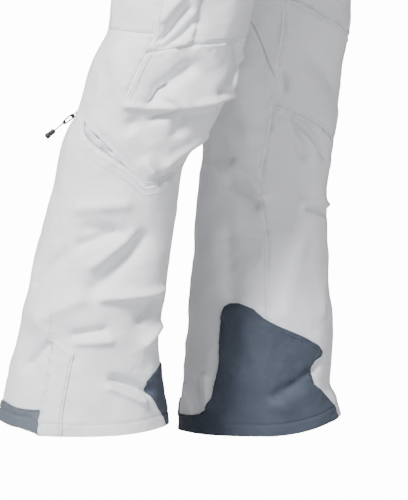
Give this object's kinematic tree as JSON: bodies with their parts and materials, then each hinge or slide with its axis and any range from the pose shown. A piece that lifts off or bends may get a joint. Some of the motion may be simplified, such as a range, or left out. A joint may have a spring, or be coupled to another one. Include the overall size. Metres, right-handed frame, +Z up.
{
  "type": "ski pants",
  "caption": "Pale insulated ski pants in a walking pose, with articulated knees, calf vent zips, inner kick patches, snow gaiters and cargo pockets.",
  "frame": {"origin": "centre of the waist opening, on the plane of the waistband's top edge", "axes": "+Z up towards the wearer's waist, -Y to the front of the pants, +X to the wearer's left"},
  "size_m": [0.3866, 0.4798, 1.049],
  "materials": {
    "shell_fabric": "matt woven polyester, padded",
    "charcoal_fabric": "coarse abrasion-resistant weave",
    "grey_fabric": "matt grey-blue weave",
    "white_lining": "brushed polyester lining",
    "zip_tape": "woven zip tape with coil teeth",
    "gunmetal": "gunmetal plated",
    "rubber": "moulded matt"
  },
  "bodies": {
    "seat": {"waistband_front_right": "shell_fabric", "waistband_front_left": "shell_fabric", "waistband_back": "shell_fabric", "front_panel_right": "shell_fabric", "front_panel_left": "shell_fabric", "seat_panel_right": "shell_fabric", "seat_panel_left": "shell_fabric", "crotch_gusset": "shell_fabric", "belt_loop_back": "shell_fabric", "belt_loop_side_right": "shell_fabric", "belt_loop_side_left": "shell_fabric", "belt_loop_front_right": "shell_fabric", "belt_loop_front_left": "shell_fabric", "fly_zip_tape_right": "zip_tape", "fly_zip_tape_left": "zip_tape", "waist_snap_stud": "gunmetal", "hand_pocket_zip_right": "zip_tape", "hand_pocket_zip_left": "zip_tape"},
    "fly_zip_slider": {"fly_zip_slider": "gunmetal"},
    "fly_zip_puller": {"fly_zip_puller": "gunmetal"},
    "hand_pocket_right_slider": {"hand_pocket_right_slider": "gunmetal"},
    "hand_pocket_right_puller": {"hand_pocket_right_puller": "gunmetal"},
    "hand_pocket_left_slider": {"hand_pocket_left_slider": "gunmetal"},
    "hand_pocket_left_puller": {"hand_pocket_left_puller": "gunmetal"},
    "waist_tab": {"waist_tab": "shell_fabric", "waist_snap_cap": "gunmetal"},
    "waist_adjuster_right": {"waist_adjuster_right": "charcoal_fabric"},
    "waist_adjuster_left": {"waist_adjuster_left": "charcoal_fabric"},
    "thigh_right": {"thigh_front_right": "shell_fabric", "thigh_back_right": "shell_fabric", "knee_panel_right": "shell_fabric", "cargo_pocket_right": "shell_fabric"},
    "shin_right": {"shin_outer_right": "shell_fabric", "shin_inner_right": "shell_fabric", "vent_zip_right": "zip_tape", "vent_lining_right": "white_lining", "kick_patch_right": "charcoal_fabric", "heel_band_right": "grey_fabric", "ankle_placket_right": "shell_fabric", "snow_gaiter_right": "white_lining"},
    "cargo_flap_right": {"cargo_flap_right": "shell_fabric"},
    "vent_slider_right": {"vent_slider_right": "gunmetal"},
    "vent_pull_right": {"vent_puller_right": "gunmetal", "vent_grip_right": "rubber"},
    "thigh_left": {"thigh_front_left": "shell_fabric", "thigh_back_left": "shell_fabric", "knee_panel_left": "shell_fabric", "cargo_pocket_left": "shell_fabric"},
    "shin_left": {"shin_outer_left": "shell_fabric", "shin_inner_left": "shell_fabric", "vent_zip_left": "zip_tape", "vent_lining_left": "white_lining", "kick_patch_left": "charcoal_fabric", "heel_band_left": "grey_fabric", "ankle_placket_left": "shell_fabric", "snow_gaiter_left": "white_lining"},
    "cargo_flap_left": {"cargo_flap_left": "shell_fabric"},
    "vent_slider_left": {"vent_slider_left": "gunmetal"},
    "vent_pull_left": {"vent_puller_left": "gunmetal", "vent_grip_left": "rubber"}
  },
  "joints": [
    {"name": "fly_zip_slide", "type": "slide", "parent": "seat", "child": "fly_zip_slider", "axis": [0, -0.1985, -0.9801], "range_m": [0, 0.102]},
    {"name": "fly_zip_puller_hinge", "type": "hinge", "parent": "fly_zip_slider", "child": "fly_zip_puller", "pos_m": [0, -0.11372, -0.04826], "axis": [-1, 0, 0], "range_deg": [0, 95]},
    {"name": "hand_pocket_right_slide", "type": "slide", "parent": "seat", "child": "hand_pocket_right_slider", "axis": [-0.2331, -0.1755, -0.9565], "range_m": [0, 0.0899]},
    {"name": "hand_pocket_right_puller_hinge", "type": "hinge", "parent": "hand_pocket_right_slider", "child": "hand_pocket_right_puller", "pos_m": [-0.11645, -0.08216, -0.06931], "axis": [-0.7486, 0.6602, 0.0613], "range_deg": [0, 95]},
    {"name": "hand_pocket_left_slide", "type": "slide", "parent": "seat", "child": "hand_pocket_left_slider", "axis": [0.2331, -0.1755, -0.9565], "range_m": [0, 0.0899]},
    {"name": "hand_pocket_left_puller_hinge", "type": "hinge", "parent": "hand_pocket_left_slider", "child": "hand_pocket_left_puller", "pos_m": [0.11645, -0.08216, -0.06931], "axis": [-0.7486, -0.6602, -0.0613], "range_deg": [0, 95]},
    {"name": "waist_tab_hinge", "type": "hinge", "parent": "seat", "child": "waist_tab", "pos_m": [0.02201, -0.11129, -0.021], "axis": [0, 0, 1], "range_deg": [0, 110]},
    {"name": "waist_adjuster_hinge_right", "type": "hinge", "parent": "seat", "child": "waist_adjuster_right", "pos_m": [-0.14374, -0.0129, -0.021], "axis": [0, 0, -1], "range_deg": [0, 110]},
    {"name": "waist_adjuster_hinge_left", "type": "hinge", "parent": "seat", "child": "waist_adjuster_left", "pos_m": [0.14374, -0.0129, -0.021], "axis": [0, 0, 1], "range_deg": [0, 110]},
    {"name": "hip_right", "type": "hinge", "parent": "seat", "child": "thigh_right", "pos_m": [-0.088, 0, -0.2], "axis": [-1, 0, 0], "range_deg": [-6, 38]},
    {"name": "knee_right", "type": "hinge", "parent": "thigh_right", "child": "shin_right", "pos_m": [-0.104, 0.143, -0.6], "axis": [1, 0, 0], "range_deg": [-4, 40]},
    {"name": "cargo_flap_hinge_right", "type": "hinge", "parent": "thigh_right", "child": "cargo_flap_right", "pos_m": [-0.1815, 0.075, -0.388], "axis": [0, 1, 0], "range_deg": [0, 100]},
    {"name": "vent_zip_run_right", "type": "hinge", "parent": "shin_right", "child": "vent_slider_right", "pos_m": [-0.08821, 0.1654, -0.67559], "axis": [-0.4234, -0.5377, 0.7291], "range_deg": [0, 80]},
    {"name": "vent_pull_hinge_right", "type": "hinge", "parent": "vent_slider_right", "child": "vent_pull_right", "pos_m": [-0.10908, 0.24427, -0.632], "axis": [1, 0, 0], "range_deg": [-18, 60]},
    {"name": "hip_left", "type": "hinge", "parent": "seat", "child": "thigh_left", "pos_m": [0.088, 0, -0.2], "axis": [-1, 0, 0], "range_deg": [-24, 13]},
    {"name": "knee_left", "type": "hinge", "parent": "thigh_left", "child": "shin_left", "pos_m": [0.104, 0.002, -0.612], "axis": [1, 0, 0], "range_deg": [-4, 40]},
    {"name": "cargo_flap_hinge_left", "type": "hinge", "parent": "thigh_left", "child": "cargo_flap_left", "pos_m": [0.1815, -0.012, -0.4], "axis": [0, -1, 0], "range_deg": [0, 100]},
    {"name": "vent_zip_run_left", "type": "hinge", "parent": "shin_left", "child": "vent_slider_left", "pos_m": [0.0651, -0.00735, -0.68064], "axis": [-0.3813, 0.4659, -0.7985], "range_deg": [0, 80]},
    {"name": "vent_pull_hinge_left", "type": "hinge", "parent": "vent_slider_left", "child": "vent_pull_left", "pos_m": [0.10909, 0.09476, -0.644], "axis": [1, 0, 0], "range_deg": [-18, 60]}
  ]
}
